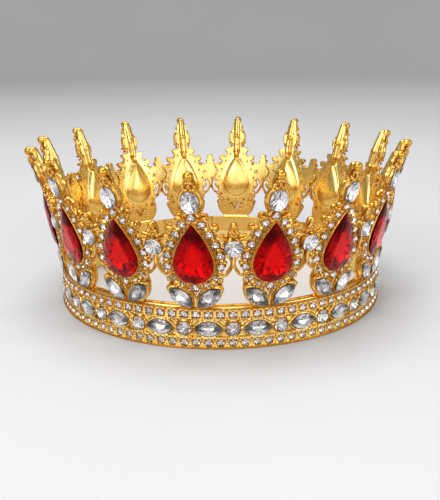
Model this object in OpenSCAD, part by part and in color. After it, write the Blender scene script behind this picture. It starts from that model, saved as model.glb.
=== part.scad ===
// Full-circle costume crown. Eight cast rim sections are joined end to end into a ring.
// Sixteen cast fleurons stand on it, each with a flange soldered inside the rim, and every
// crystal is a separate stone glued into a seat in the castings.
// Frame: origin at the centre of the base, +Z up, -Y is the middle of the front.

/* [Rim] */
// Diameter over the lip at the bottom edge of the rim
base_d = 135; // [134:0.5:140]
// Height of the rim
rim_h = 15.8; // [15.8:0.1:16.4]
// Depth of the channel that holds the large rim stones
channel_depth = 1.2; // [0.8:0.1:1.3]
// Width of each of the two rails of small stones
rail_w = 4.3; // [4:0.1:4.5]

/* [Fleurons] */
// Thickness of the fleuron castings
plate_t = 2; // [1.8:0.1:2.4]
// Height of the middle of the pear crystal
pear_z = 36; // [35.5:0.1:36.5]
// Outward lean of the wall just above the rim, as a slope
wall_slope = 0.09; // [0.06:0.01:0.12]
// How much the outward lean grows with height, per millimetre
wall_curl = 0.0026; // [0.002:0.0001:0.003]

/* [Crystals] */
// Length of a pear crystal
pear_l = 21.6; // [21.2:0.1:21.8]
// Width of a pear crystal
pear_w = 14; // [13.5:0.1:14.2]
// Length of the oval crystal on a spire
oval_l = 8; // [7.5:0.1:8]
// Width of the oval crystal on a spire
oval_w = 6; // [5.5:0.1:6.2]
// Diameter of the round crystal between two fleurons
link_d = 5.9; // [5.6:0.1:6]
// Length of the pointed oval crystals on the leaves and the rim
navette_l = 10; // [9.5:0.1:10]
// Width of the pointed oval crystals on the leaves and the rim
navette_w = 5; // [4.6:0.1:5]
// Diameter of the round crystals on the rim
rim_round_d = 4.7; // [4.4:0.1:4.8]
// Diameter of the small round stones
chaton_d = 2.3; // [2:0.1:2.3]

/* [Hidden] */
$fn = 48;
fleuron_count = 16;
fleuron_step = 360 / fleuron_count;
section_count = 8;
section_step = 360 / section_count;
repeats_per_section = 3;
repeat_step = section_step / repeats_per_section;
chatons_per_repeat = 4;
chaton_step = repeat_step / chatons_per_repeat;
// A section ends in the gap between a round stone and a pointed one
section_end = 2.58;

// Radii of the rim, from the axis
lip_r = base_d / 2;
lip_h = 0.7;
rail_r = lip_r - 1.2;
channel_r = rail_r - channel_depth;
rim_in_r = lip_r - 3.5;
top_bevel = 1.1;
channel_low_z = rail_w;
channel_high_z = rim_h - rail_w - 1;
channel_mid_z = (channel_low_z + channel_high_z) / 2;
lower_rail_z = (lip_h + channel_low_z) / 2 - 0.3;
upper_rail_z = (channel_high_z + rim_h - top_bevel) / 2;

// The fleuron wall: flange inside the rim, then a face that leans outward more and more
flange_t = 1.1;
flange_low_z = 8.1;
flange_in_r = rim_in_r - flange_t;
wall_foot_r = lip_r - 1.5;
wall_top_z = 61.5;
wall_step_z = 9.44;
foot_blend_z = 6.5;

function wall_r(z) = wall_foot_r + wall_slope * (z - rim_h) + wall_curl * pow(z - rim_h, 2);
function wall_lean(z) = atan(wall_slope + 2 * wall_curl * (z - rim_h));

// Depths of the seats, below the outer face, and how far the stones and bezels stand out
chaton_seat = 0.6;
chaton_proud = 0.55;
bezel_wall = 0.45;
pear_bezel_h = 1.5;
pear_floor_h = -1;
pear_proud = 2.6;
bulge_h = 2.2;
small_bezel_h = 1.3;
small_floor_h = 0.2;
small_proud = 2.1;
boss_root = 1.6;

// Places on a fleuron, measured along the wall from the middle of the pear crystal
oval_z = 54.6;
apex_chaton_y = 13.2;
foot_x = 6.4;
leaf_x = 4.7;
leaf_z = 19.3;
leaf_tilt = 50;
link_z = 37.8;
halo_gap = 2.5;
halo_shift = -0.1;
halo_side_count = 7;
halo_pitch = 4.4;
halo_plate_gap = 3.9;

// The outline of a pear: a round foot and two flatter side arcs that meet in a point
pear_join = 16;
pear_foot_r = pear_w / 2;
pear_foot_y = pear_foot_r - pear_l / 2;
pear_tip_y = pear_l / 2 - pear_foot_y;
pear_side_r = (pow(pear_tip_y, 2) + pow(pear_foot_r, 2) - 2 * pear_tip_y * pear_foot_r * sin(pear_join))
    / (2 * pear_foot_r - 2 * pear_tip_y * sin(pear_join));
pear_side_x = (pear_side_r - pear_foot_r) * cos(pear_join);
pear_side_y = pear_foot_y - (pear_side_r - pear_foot_r) * sin(pear_join);
halo_foot_arc = (pear_foot_r + halo_gap) * (90 + pear_join) * PI / 180;

// Angle around a pear outline at arc length s from the foot, then the point itself
function halo_angle(s) = s < halo_foot_arc
    ? -90 + s / (pear_foot_r + halo_gap) * 180 / PI
    : pear_join + (s - halo_foot_arc) / (pear_side_r + halo_gap) * 180 / PI;
function halo_point(s) = s < halo_foot_arc
    ? [(pear_foot_r + halo_gap) * cos(halo_angle(s)),
       pear_foot_y + halo_shift + (pear_foot_r + halo_gap) * sin(halo_angle(s))]
    : [(pear_side_r + halo_gap) * cos(halo_angle(s)) - pear_side_x,
       pear_side_y + halo_shift + (pear_side_r + halo_gap) * sin(halo_angle(s))];

// ---- outlines ----

module pear_outline(grow = 0) {
    translate([0, pear_foot_y])
        circle(r = pear_foot_r + grow, $fn = 96);
    intersection() {
        translate([pear_side_x, pear_side_y])
            circle(r = pear_side_r + grow, $fn = 256);
        translate([-pear_side_x, pear_side_y])
            circle(r = pear_side_r + grow, $fn = 256);
        translate([-pear_side_r, pear_foot_y + (pear_foot_r + grow) * sin(pear_join)])
            square([2 * pear_side_r, 2 * pear_l]);
    }
}

// A pointed oval with its long axis along Y
module navette_outline(l, w) {
    side_r = (pow(l, 2) + pow(w, 2)) / (4 * w);
    intersection() {
        translate([side_r - w / 2, 0])
            circle(r = side_r, $fn = 128);
        translate([w / 2 - side_r, 0])
            circle(r = side_r, $fn = 128);
    }
}

// An oval with its long axis along Y: a pointed oval whose tips are cut off by a circle
module oval_outline(l, w) {
    tip = 1.3;
    intersection() {
        navette_outline(l + 2 * tip, w);
        circle(d = l);
    }
}

// ---- placing ----

// Onto the fleuron wall at an angle round the crown and a height: local +Z points outward
module on_wall(angle, z, h = 0) {
    rotate([0, 0, angle])
        translate([0, -wall_r(z), z])
            rotate([90 + wall_lean(z), 0, 0])
                translate([0, 0, h])
                    children();
}

// Onto the wall at a point measured across and along it from the middle of the pear crystal
module on_fleuron(x, y, h = 0) {
    z = pear_z + y * cos(wall_lean(pear_z + y));
    on_wall(x / (wall_r(z) + pear_bezel_h) * 180 / PI, z, h)
        children();
}

// Onto the rim at an angle and a height, at radius r: local +Z points outward
module on_rim(angle, z, r) {
    rotate([0, 0, angle])
        translate([0, -r, z])
            rotate([90, 0, 0])
                children();
}

// A ring sector centred on the front, turned from a profile in the radius and height plane
module sector(width) {
    rotate([0, 0, -90 - width / 2])
        rotate_extrude(angle = width, $fn = 360)
            children();
}

// An outline drawn in the plane of width and height, pushed out through the wall
module through_wall() {
    translate([0, -wall_foot_r + 12, 0])
        rotate([90, 0, 0])
            linear_extrude(30)
                children();
}

// ---- rim ----

module rim_profile() {
    polygon([
        [rim_in_r, 0], [lip_r, 0], [lip_r, lip_h], [rail_r, lip_h], [rail_r, channel_low_z],
        [channel_r, channel_low_z], [channel_r, channel_high_z], [rail_r, channel_high_z],
        [rail_r, rim_h - top_bevel], [rail_r - top_bevel, rim_h], [rim_in_r, rim_h]]);
}

module rim_navette_outline(grow = 0) {
    rotate(90)
        navette_outline(navette_l + 2.2 * grow, navette_w + 2 * grow);
}

module rim_cups() {
    cup_h = channel_depth + 0.8;
    root = 0.5;
    for (i = [0:repeats_per_section - 1]) {
        on_rim(i * repeat_step, channel_mid_z, channel_r - root)
            cylinder(h = cup_h + root, r = rim_round_d / 2 + bezel_wall);
        on_rim((i - 0.5) * repeat_step, channel_mid_z, channel_r - root)
            linear_extrude(cup_h + root)
                rim_navette_outline(bezel_wall);
    }
}

module rim_seats() {
    floor_r = channel_r + 0.6;
    for (i = [0:repeats_per_section - 1]) {
        on_rim(i * repeat_step, channel_mid_z, floor_r)
            cylinder(h = 4, r = rim_round_d / 2);
        on_rim((i - 0.5) * repeat_step, channel_mid_z, floor_r)
            linear_extrude(4)
                rim_navette_outline();
    }
    first = 1 - chatons_per_repeat;
    for (i = [first:first + repeats_per_section * chatons_per_repeat - 1], z = [lower_rail_z, upper_rail_z])
        on_rim(i * chaton_step, z, rail_r - chaton_seat)
            cylinder(h = 3, d = chaton_d);
}

// A rim section starts just before its first round stone's neighbour and spans three repeats
module rim_section(i) {
    color("goldenrod")
        rotate([0, 0, (i - 1) * section_step])
            difference() {
                union() {
                    rotate([0, 0, section_end - repeat_step + section_step / 2])
                        sector(section_step)
                            rim_profile();
                    rim_cups();
                }
                rim_seats();
            }
}

// ---- fleurons ----

module wall_profile() {
    steps = ceil((wall_top_z - rim_h - foot_blend_z) / wall_step_z);
    heights = [for (k = [0:steps]) rim_h + foot_blend_z + k * (wall_top_z - rim_h - foot_blend_z) / steps];
    polygon(concat(
        [[flange_in_r, flange_low_z], [rim_in_r, flange_low_z], [rim_in_r, rim_h], [wall_foot_r, rim_h]],
        [for (z = heights) [wall_r(z), z]],
        [for (k = [steps:-1:0]) [wall_r(heights[k]) - plate_t, heights[k]]],
        [[flange_in_r, rim_h - 2]]));
}

// The band of the wall that stays whole from one fleuron to the next
module flange_band() {
    band_top_z = rim_h - 0.3;
    translate([flange_in_r - 2, flange_low_z - 2])
        square([10, band_top_z - flange_low_z + 2]);
}

// Foot, two leaves, the plate around the pear crystal and the stem of the spire
module fleuron_outline() {
    foot_low_z = rim_h - 2;
    polygon([[-foot_x, foot_low_z], [foot_x, foot_low_z], [foot_x, rim_h + 0.4], [8.6, 21.5],
             [0, 25], [-8.6, 21.5], [-foot_x, rim_h + 0.4]]);
    for (side = [-1, 1])
        translate([side * leaf_x, leaf_z])
            rotate(-side * leaf_tilt)
                navette_outline(navette_l + 2.6, navette_w + 1.6);
    translate([0, pear_z + halo_shift])
        pear_outline(halo_plate_gap);
    translate([0, oval_z])
        circle(d = oval_w + 1.4);
    translate([-2.4, pear_z + pear_l / 2])
        square([4.8, wall_top_z - pear_z - pear_l / 2]);
}

// Half of the pair of thin scrolls that spring from a link post and land on the leaves
module scroll_outline() {
    scroll_z = 22.6;
    scroll_r = 6;
    inner_r = scroll_r - 1.5;
    turn = 15;
    polygon(concat(
        [for (a = [0:turn:90]) [scroll_r * cos(a), scroll_z + scroll_r * sin(a)]],
        [for (a = [90:-turn:0]) [inner_r * cos(a), scroll_z + inner_r * sin(a)]]));
}

// A post that starts under the tops of the scrolls, with the neck of its finial above
module link_outline() {
    post_low_z = 26.4;
    translate([-0.9, post_low_z])
        square([1.8, link_z - post_low_z]);
    translate([-1.1, link_z])
        square([2.2, 8.6]);
}

module link_finial() {
    for (side = [-1, 1])
        on_wall(side * 0.85, link_z + 5.6, -0.2)
            sphere(r = 1.15);
    on_wall(0, link_z + 6.4, 0.4)
        sphere(r = 1.15);
    on_wall(0, link_z + 8.9, -0.3)
        sphere(r = 1.4);
}

// The round seat of a link and its finial
module link_round() {
    on_wall(0, link_z, -boss_root)
        cylinder(h = boss_root + small_bezel_h, d = link_d + 2 * bezel_wall - 0.3);
    link_finial();
}

// The space that a link takes up, which its right-hand neighbour leaves free
module link_space() {
    through_wall()
        link_outline();
    link_round();
}

// The flange, and the outlines of a fleuron and of the link on its left, cut from one wall
module fleuron_plate() {
    intersection() {
        sector(fleuron_step + 8)
            wall_profile();
        union() {
            sector(fleuron_step)
                flange_band();
            through_wall()
                fleuron_outline();
            rotate([0, 0, -fleuron_step / 2])
                through_wall() {
                    scroll_outline();
                    link_outline();
                }
            rotate([0, 0, fleuron_step / 2])
                through_wall()
                    mirror([1, 0])
                        scroll_outline();
        }
    }
}

module spire() {
    on_wall(0, oval_z, -boss_root)
        cylinder(h = boss_root + small_bezel_h, d = oval_l + bezel_wall);
    for (side = [-1, 1])
        on_wall(side * 1.1, oval_z + 5.4, -0.3)
            sphere(r = 1.4);
    on_wall(0, oval_z + 6.6, 0)
        sphere(r = 1.6);
    on_wall(0, oval_z + 8.8, 0.2)
        sphere(r = 1.6);
}

// The raised edge round each large stone, and the back of the pear's cup, which bulges inwards
module bezels() {
    bulge_step = 0.9;
    on_fleuron(0, 0, -boss_root)
        linear_extrude(boss_root + pear_bezel_h)
            pear_outline(0.8);
    on_fleuron(0, 0, -plate_t - bulge_step)
        linear_extrude(plate_t)
            pear_outline(-0.3);
    on_fleuron(0, 0, -plate_t - bulge_h)
        linear_extrude(plate_t + bulge_h - boss_root)
            pear_outline(-2.4);
    for (side = [-1, 1])
        on_wall(side * leaf_x / wall_r(leaf_z) * 180 / PI, leaf_z, -boss_root)
            rotate(-side * leaf_tilt)
                linear_extrude(boss_root + small_bezel_h)
                    navette_outline(navette_l + 1.2, navette_w + 2 * bezel_wall);
}

module fleuron_seats() {
    on_fleuron(0, 0, pear_floor_h)
        linear_extrude(8)
            pear_outline();
    on_wall(0, oval_z, small_floor_h)
        linear_extrude(6)
            oval_outline(oval_l, oval_w);
    for (side = [-1, 1])
        on_wall(side * leaf_x / wall_r(leaf_z) * 180 / PI, leaf_z, small_floor_h)
            rotate(-side * leaf_tilt)
                linear_extrude(6)
                    navette_outline(navette_l, navette_w);
    on_fleuron(0, apex_chaton_y, -chaton_seat)
        cylinder(h = 3, d = chaton_d);
    for (k = [-halo_side_count:halo_side_count])
        on_halo(k)
            cylinder(h = 3, d = chaton_d);
}

// The seat of halo stone k, counted from the foot of the pear crystal, negative to the left
module on_halo(k) {
    point = halo_point(abs(k) * halo_pitch);
    on_fleuron(sign(k) * point[0], point[1], -chaton_seat)
        children();
}

// A fleuron carries the link on its left and meets its neighbour's link on its right
module fleuron(i) {
    color("gold")
        rotate([0, 0, (i - 0.5) * fleuron_step])
            difference() {
                union() {
                    difference() {
                        fleuron_plate();
                        rotate([0, 0, fleuron_step / 2])
                            link_space();
                    }
                    rotate([0, 0, -fleuron_step / 2])
                        link_round();
                    bezels();
                    spire();
                }
                fleuron_seats();
                rotate([0, 0, -fleuron_step / 2])
                    on_wall(0, link_z, small_floor_h)
                        cylinder(h = 6, d = link_d);
            }
}

// ---- crystals ----

// A round stone: straight girdle, bevelled crown and flat table, standing on z = 0
module round_stone(d, h) {
    rotate_extrude()
        polygon([[0, 0], [d / 2, 0], [d / 2, 0.45 * h], [0.3 * d, h], [0, h]]);
}

// A stone of any outline in two steps: girdle, then table
module stepped_stone(h) {
    linear_extrude(0.6 * h)
        children(0);
    linear_extrude(h)
        children(1);
}

module pear_crystal(i) {
    color("crimson")
        rotate([0, 0, (i - 0.5) * fleuron_step])
            on_fleuron(0, 0, pear_floor_h)
                stepped_stone(pear_proud - pear_floor_h) {
                    pear_outline();
                    pear_outline(-2.2);
                }
}

module every_fleuron() {
    for (i = [1:fleuron_count])
        rotate([0, 0, (i - 0.5) * fleuron_step])
            children();
}

module oval_crystals() {
    color("gainsboro")
        every_fleuron()
            on_wall(0, oval_z, small_floor_h)
                stepped_stone(small_proud - small_floor_h) {
                    oval_outline(oval_l, oval_w);
                    oval_outline(oval_l - 2.4, oval_w - 2.4);
                }
}

module spire_chatons() {
    color("gainsboro")
        every_fleuron()
            on_fleuron(0, apex_chaton_y, -chaton_seat)
                round_stone(chaton_d, chaton_seat + chaton_proud);
}

module halo_chatons() {
    color("gainsboro")
        every_fleuron()
            for (k = [-halo_side_count:halo_side_count])
                on_halo(k)
                    round_stone(chaton_d, chaton_seat + chaton_proud);
}

module link_crystals() {
    color("gainsboro")
        for (i = [0:fleuron_count - 1])
            on_wall(i * fleuron_step, link_z, small_floor_h)
                round_stone(link_d, small_proud - small_floor_h);
}

module leaf_crystals() {
    color("gainsboro")
        every_fleuron()
            for (side = [-1, 1])
                on_wall(side * leaf_x / wall_r(leaf_z) * 180 / PI, leaf_z, small_floor_h)
                    rotate(-side * leaf_tilt)
                        stepped_stone(small_proud - small_floor_h) {
                            navette_outline(navette_l, navette_w);
                            navette_outline(navette_l - 4, navette_w - 2.2);
                        }
}

module rim_navettes() {
    color("gainsboro")
        for (i = [0:section_count * repeats_per_section - 1])
            on_rim((i + 0.5) * repeat_step, channel_mid_z, channel_r + 0.6)
                stepped_stone(2) {
                    rim_navette_outline();
                    rim_navette_outline(-1.1);
                }
}

module rim_rounds() {
    color("gainsboro")
        for (i = [0:section_count * repeats_per_section - 1])
            on_rim(i * repeat_step, channel_mid_z, channel_r + 0.6)
                round_stone(rim_round_d, 2);
}

module rail_chatons(z) {
    color("gainsboro")
        for (i = [0:section_count * repeats_per_section * chatons_per_repeat - 1])
            on_rim(i * chaton_step, z, rail_r - chaton_seat)
                round_stone(chaton_d, chaton_seat + chaton_proud);
}

// ---- what is drawn ----

for (i = [1:section_count])
    rim_section(i);
for (i = [1:fleuron_count])
    fleuron(i);
for (i = [1:fleuron_count])
    pear_crystal(i);
oval_crystals();
spire_chatons();
halo_chatons();
link_crystals();
leaf_crystals();
rim_navettes();
rim_rounds();
rail_chatons(upper_rail_z);  // upper_rail_chatons
rail_chatons(lower_rail_z);  // lower_rail_chatons
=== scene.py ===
"""Full-circle costume crown: gold castings and set crystals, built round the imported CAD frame.

Castings are sculpted as signed distance fields on a flat patch (x across, y up along the
wall, h outwards, in millimetres), turned into a mesh, and bent onto the crown.
"""
import math

import bmesh
import bpy
import numpy as np
import openvdb as vdb
from mathutils import Matrix, Vector


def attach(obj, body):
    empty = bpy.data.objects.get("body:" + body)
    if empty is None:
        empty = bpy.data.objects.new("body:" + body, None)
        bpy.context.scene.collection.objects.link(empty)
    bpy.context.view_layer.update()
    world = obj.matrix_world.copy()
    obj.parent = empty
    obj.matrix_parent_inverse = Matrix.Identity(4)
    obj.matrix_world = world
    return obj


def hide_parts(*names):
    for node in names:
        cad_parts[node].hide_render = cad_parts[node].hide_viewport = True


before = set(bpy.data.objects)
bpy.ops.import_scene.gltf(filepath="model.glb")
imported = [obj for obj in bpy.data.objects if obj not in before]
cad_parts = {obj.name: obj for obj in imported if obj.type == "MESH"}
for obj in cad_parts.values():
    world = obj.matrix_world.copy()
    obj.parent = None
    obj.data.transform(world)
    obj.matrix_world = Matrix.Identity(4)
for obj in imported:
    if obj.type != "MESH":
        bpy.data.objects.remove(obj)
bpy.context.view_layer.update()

MM = 0.001

# ---- sizes in millimetres, the same as in the CAD part ----

FLEURONS = 16
FLEURON_STEP = 360 / FLEURONS
SECTIONS = 8
SECTION_STEP = 360 / SECTIONS
REPEATS = 24                        # one round and one pointed stone of the rim each
REPEAT_STEP = 360 / REPEATS
RAIL_STONES = 96
CHATON_STEP = 360 / RAIL_STONES
SECTION_END = 2.58
RIM_H = 15.8
RIM_FACE_R = 66.3
LOWER_RAIL_Z = 2.2
UPPER_RAIL_Z = 12.6
CHANNEL_Z = 7.4
PEAR_Z, OVAL_Z, LINK_Z, LEAF_Z = 36.0, 54.6, 37.8, 19.3
LEAF_X, LEAF_TILT = 4.7, 50.0
PEAR_L, PEAR_W = 21.6, 14.0
OVAL_L, OVAL_W = 8.0, 6.0
LINK_D, RIM_ROUND_D, CHATON_D = 5.9, 4.7, 2.3
NAVETTE_L, NAVETTE_W = 10.0, 5.0
APEX_CHATON_Y = 13.2
PLATE_T = 2.0
FLANGE_IN_R, FLANGE_OUT_R, FLANGE_LOW_Z = 62.9, 64.0, 8.1


# ---- the wall that the fleurons follow ----

WALL_FOOT_R, WALL_LEAN, WALL_CURL = 66, 0.09, 0.0026


def wall_r(z):
    """The wall's radius at a height."""
    return WALL_FOOT_R + WALL_LEAN * (z - RIM_H) + WALL_CURL * (z - RIM_H) ** 2


def wall_slope(z):
    """How fast the wall's radius grows with height."""
    return WALL_LEAN + 2 * WALL_CURL * (z - RIM_H)


WALL_Z = np.linspace(2, 76, 1481)
WALL_ARC = np.concatenate([[0], np.cumsum(np.hypot(1, wall_slope(WALL_Z[1:])) * np.diff(WALL_Z))])
WALL_ARC -= np.interp(PEAR_Z, WALL_Z, WALL_ARC)
PEAR_R = wall_r(PEAR_Z)
HALF_UNIT = PEAR_R * math.pi / FLEURONS


def z_of(y):
    """The height of a place along the wall, y = 0 being the middle of the pear stones."""
    return np.interp(y, WALL_ARC, WALL_Z)


def y_of(z):
    return float(np.interp(z, WALL_Z, WALL_ARC))


def on_wall(angle, y, h):
    """World points for an angle round the crown, a place along the wall and a height above it."""
    z0 = z_of(y)
    lean = np.arctan(wall_slope(z0))
    r = wall_r(z0) + h * np.cos(lean)
    return np.stack([r * np.sin(angle), -r * np.cos(angle), z0 - h * np.sin(lean)], -1)


def wall_matrix(x, y, h, angle=0.0, turn=0.0):
    """A rigid frame on the wall: +X across, +Y up along the wall, +Z outwards. Millimetres."""
    z0 = float(z_of(y))
    a = angle + x / wall_r(z0)
    lean = math.atan(wall_slope(z0))
    place = Vector(on_wall(np.array(a), np.array(y), np.array(float(h))).tolist())
    return (Matrix.Translation(place) @ Matrix.Rotation(a, 4, "Z")
            @ Matrix.Rotation(math.pi / 2 + lean, 4, "X") @ Matrix.Rotation(turn, 4, "Z"))


def rim_matrix(x, z, h, angle=0.0, turn=0.0):
    """The same for the upright face of the rim."""
    a = angle + x / RIM_FACE_R
    r = RIM_FACE_R + h
    place = Vector((r * math.sin(a), -r * math.cos(a), z))
    return (Matrix.Translation(place) @ Matrix.Rotation(a, 4, "Z")
            @ Matrix.Rotation(math.pi / 2, 4, "X") @ Matrix.Rotation(turn, 4, "Z"))


# ---- outlines: signed distance in the plane ----

PEAR_JOIN = math.radians(16)        # where the round foot of the pear meets its long side
PEAR_FOOT_R = PEAR_W / 2
PEAR_FOOT_Y = PEAR_FOOT_R - PEAR_L / 2
PEAR_TIP = PEAR_L / 2 - PEAR_FOOT_Y
PEAR_SIDE_R = ((PEAR_TIP ** 2 + PEAR_FOOT_R ** 2 - 2 * PEAR_TIP * PEAR_FOOT_R * math.sin(PEAR_JOIN))
               / (2 * PEAR_FOOT_R - 2 * PEAR_TIP * math.sin(PEAR_JOIN)))
PEAR_SIDE_X = (PEAR_SIDE_R - PEAR_FOOT_R) * math.cos(PEAR_JOIN)
PEAR_SIDE_Y = PEAR_FOOT_Y - (PEAR_SIDE_R - PEAR_FOOT_R) * math.sin(PEAR_JOIN)
PEAR_HEART_Y = PEAR_FOOT_Y + 1.2    # where the facets of the cut pear meet
# The halo: distance from the pear, drop, spacing, and stones on each side of the lowest one
HALO_GAP, HALO_SHIFT, HALO_PITCH, HALO_SIDE = 2.5, -0.1, 4.4, 7


def pear(x, y):
    x = np.abs(x)
    foot = np.hypot(x, y - PEAR_FOOT_Y) - PEAR_FOOT_R
    side = np.hypot(x + PEAR_SIDE_X, y - PEAR_SIDE_Y) - PEAR_SIDE_R
    above = np.arctan2(y - PEAR_SIDE_Y, x + PEAR_SIDE_X) > PEAR_JOIN
    return np.where(above, side, foot)


PEAR_STONE_DROP = 0.2
PEAR_STONE_SHRINK = (0.985, 0.945)  # the drawing is shrunk by this, so the stone is larger


def pear_stone(x, y):
    """The girdle of the cut stone, which overlaps its seat a little."""
    return pear(x * PEAR_STONE_SHRINK[0], (y + PEAR_STONE_DROP) * PEAR_STONE_SHRINK[1])


def navette(x, y, length=NAVETTE_L, width=NAVETTE_W):
    """A pointed oval with its long axis along y."""
    r = (length ** 2 + width ** 2) / (4 * width)
    return np.hypot(np.abs(x) + r - width / 2, y) - r


def oval(x, y, length=OVAL_L, width=OVAL_W):
    """An ellipse with its long axis along y; the distance is a close guess."""
    scale = np.hypot(x * 2 / width, y * 2 / length)
    return (scale - 1) * width / 2 * np.where(scale > 1, 1, (1 + (length / width - 1) * 0.5))


def disc(x, y, r):
    return np.hypot(x, y) - r


def rect(x, y, half_x, half_y):
    dx, dy = np.abs(x) - half_x, np.abs(y) - half_y
    return np.minimum(np.maximum(dx, dy), 0) + np.hypot(np.maximum(dx, 0), np.maximum(dy, 0))


def stroke(x, y, points):
    """A line through points (x, y, radius), as a signed distance."""
    best = None
    for (ax, ay, ar), (bx, by, br) in zip(points, points[1:]):
        dx, dy = bx - ax, by - ay
        t = np.clip(((x - ax) * dx + (y - ay) * dy) / (dx * dx + dy * dy), 0, 1)
        d = np.hypot(x - ax - t * dx, y - ay - t * dy) - (ar + t * (br - ar))
        best = d if best is None else np.minimum(best, d)
    return best


def turned(x, y, cx, cy, degrees):
    """Plane coordinates about a centre, turned so that a shape drawn along y leans by degrees."""
    c, s = math.cos(math.radians(degrees)), math.sin(math.radians(degrees))
    return (x - cx) * c + (y - cy) * s, (y - cy) * c - (x - cx) * s


def on_side(side, points):
    """Points (x, z, ...), mirrored for side -1, with z turned into a place along the wall."""
    return [(side * x, y_of(z), *rest) for x, z, *rest in points]


def soft_min(a, b, k):
    """The lesser of two distances, rounded where they differ by less than k."""
    if k <= 0:
        return np.minimum(a, b)
    h = np.maximum(k - np.abs(a - b), 0) / k
    return np.minimum(a, b) - h * h * k * 0.25


def halo_place(k):
    """Where halo stone k sits, counted from the foot of the pear, and which way is outwards."""
    s = abs(k) * HALO_PITCH
    foot_arc = (PEAR_FOOT_R + HALO_GAP) * (math.pi / 2 + PEAR_JOIN)
    if s < foot_arc:
        a = -math.pi / 2 + s / (PEAR_FOOT_R + HALO_GAP)
        x = (PEAR_FOOT_R + HALO_GAP) * math.cos(a)
        y = PEAR_FOOT_Y + HALO_SHIFT + (PEAR_FOOT_R + HALO_GAP) * math.sin(a)
    else:
        a = PEAR_JOIN + (s - foot_arc) / (PEAR_SIDE_R + HALO_GAP)
        x = (PEAR_SIDE_R + HALO_GAP) * math.cos(a) - PEAR_SIDE_X
        y = PEAR_SIDE_Y + HALO_SHIFT + (PEAR_SIDE_R + HALO_GAP) * math.sin(a)
    side = -1 if k < 0 else 1
    return side * x, y, side * math.cos(a), math.sin(a)


# ---- sculpting ----

CASTING_FACES = 170000              # triangles kept in each casting; an exported piece may have 200,000
FAR = 3.0                           # distances are kept up to this
FLEURON_GRID = 0.17
RIM_GRID = 0.18


class Sculpture:
    """A signed distance field over a flat patch of the crown, in millimetres."""

    def __init__(self, low, high, step, across):
        self.low, self.step = low, step
        axes = [np.arange(a, b + step, step, dtype=np.float32) for a, b in zip(low, high)]
        self.flat_x, self.Y = np.meshgrid(axes[0], axes[1], indexing="ij")
        self.H = axes[2][None, None, :]
        self.across = across
        self.d = np.full((len(axes[0]), len(axes[1]), len(axes[2])), FAR, np.float32)

    def plane(self, axis=0):
        """Across and along coordinates, true to size about a fleuron's (0) or a link's (-1, 1) axis."""
        return self.across(self.flat_x, self.Y, axis), self.Y

    def extruded(self, outline, low, high, edge):
        """The window of the grid round an outline, and its distance between two heights there."""
        near = outline < edge + 1.0
        xs, ys = np.where(near.any(1))[0], np.where(near.any(0))[0]
        if not len(xs):
            return None, None
        window = (slice(xs[0], xs[-1] + 1), slice(ys[0], ys[-1] + 1))
        low, high = (v[window][..., None] if isinstance(v, np.ndarray) else v for v in (low, high))
        a = outline[window][..., None] + edge
        b = np.maximum(low - self.H, self.H - high) + edge
        d = np.minimum(np.maximum(a, b), 0) + np.hypot(np.maximum(a, 0), np.maximum(b, 0)) - edge
        return window, d

    def add(self, outline, low, high, edge=0.2, blend=0.15):
        """A plate from an outline, between two heights, with rounded edges."""
        window, d = self.extruded(outline, low, high, edge)
        if window:
            self.d[window] = soft_min(self.d[window], d, blend)

    def cut(self, outline, low, high, edge=0.1, blend=0.1):
        """A hollow in the shape that add() would build."""
        window, d = self.extruded(outline, low, high, edge)
        if window:
            self.d[window] = -soft_min(-self.d[window], d, blend)

    def wire(self, points, axis=0, blend=0.15, carve=False):
        """A round wire through points (x, y, h, radius); one point alone makes a bead."""
        X, Y = self.plane(axis)
        points = list(points) if len(points) > 1 else [points[0], points[0]]
        for a, b in zip(points, points[1:]):
            r = max(a[3], b[3]) + 0.7
            inside = ((X > min(a[0], b[0]) - r) & (X < max(a[0], b[0]) + r)
                      & (Y > min(a[1], b[1]) - r) & (Y < max(a[1], b[1]) + r))
            xs, ys = np.where(inside.any(1))[0], np.where(inside.any(0))[0]
            if not len(xs):
                continue
            window = (slice(xs[0], xs[-1] + 1), slice(ys[0], ys[-1] + 1))
            px, py, ph = X[window][..., None] - a[0], Y[window][..., None] - a[1], self.H - a[2]
            dx, dy, dh = b[0] - a[0], b[1] - a[1], b[2] - a[2]
            length = dx * dx + dy * dy + dh * dh
            t = np.clip((px * dx + py * dy + ph * dh) / length, 0, 1) if length else 0.0
            d = (np.sqrt((px - t * dx) ** 2 + (py - t * dy) ** 2 + (ph - t * dh) ** 2)
                 - a[3] - t * (b[3] - a[3]))
            if carve:
                self.d[window] = -soft_min(-self.d[window], d, blend)
            else:
                self.d[window] = soft_min(self.d[window], d, blend)

    def bead(self, x, y, h, r, axis=0, blend=0.12):
        self.wire([(x, y, h, r)], axis, blend)

    def prongs(self, x, y, foot, tip, out=(1.0, 0.0)):
        """Four prongs round a seat, from foot to tip: (reach across, reach along, h, radius)."""
        for turn in (45, 135, 225, 315):
            c, q = math.cos(math.radians(turn)), math.sin(math.radians(turn))
            px, py = out[0] * c - out[1] * q, out[1] * c + out[0] * q
            self.wire([(x + foot[0] * px, y + foot[1] * py, *foot[2:]),
                       (x + tip[0] * px, y + tip[1] * py, *tip[2:])], blend=0.1)

    def mesh(self, name, place):
        """A mesh of the surface, with place() turning patch coordinates into world millimetres."""
        grid = vdb.FloatGrid(background=FAR)
        grid.copyFromArray(np.ascontiguousarray(self.d, dtype=np.float32))
        points, triangles, quads = grid.convertToPolygons(isovalue=0.0, adaptivity=0.0)
        flat = points * self.step + np.array(self.low)
        world = place(flat[:, 0], flat[:, 1], flat[:, 2]) * MM
        mesh = bpy.data.meshes.new(name)
        mesh.from_pydata(world.tolist(), [], [f[::-1] for f in triangles.tolist() + quads.tolist()])
        mesh.validate()
        mesh.update()
        return lighter(mesh)


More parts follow.
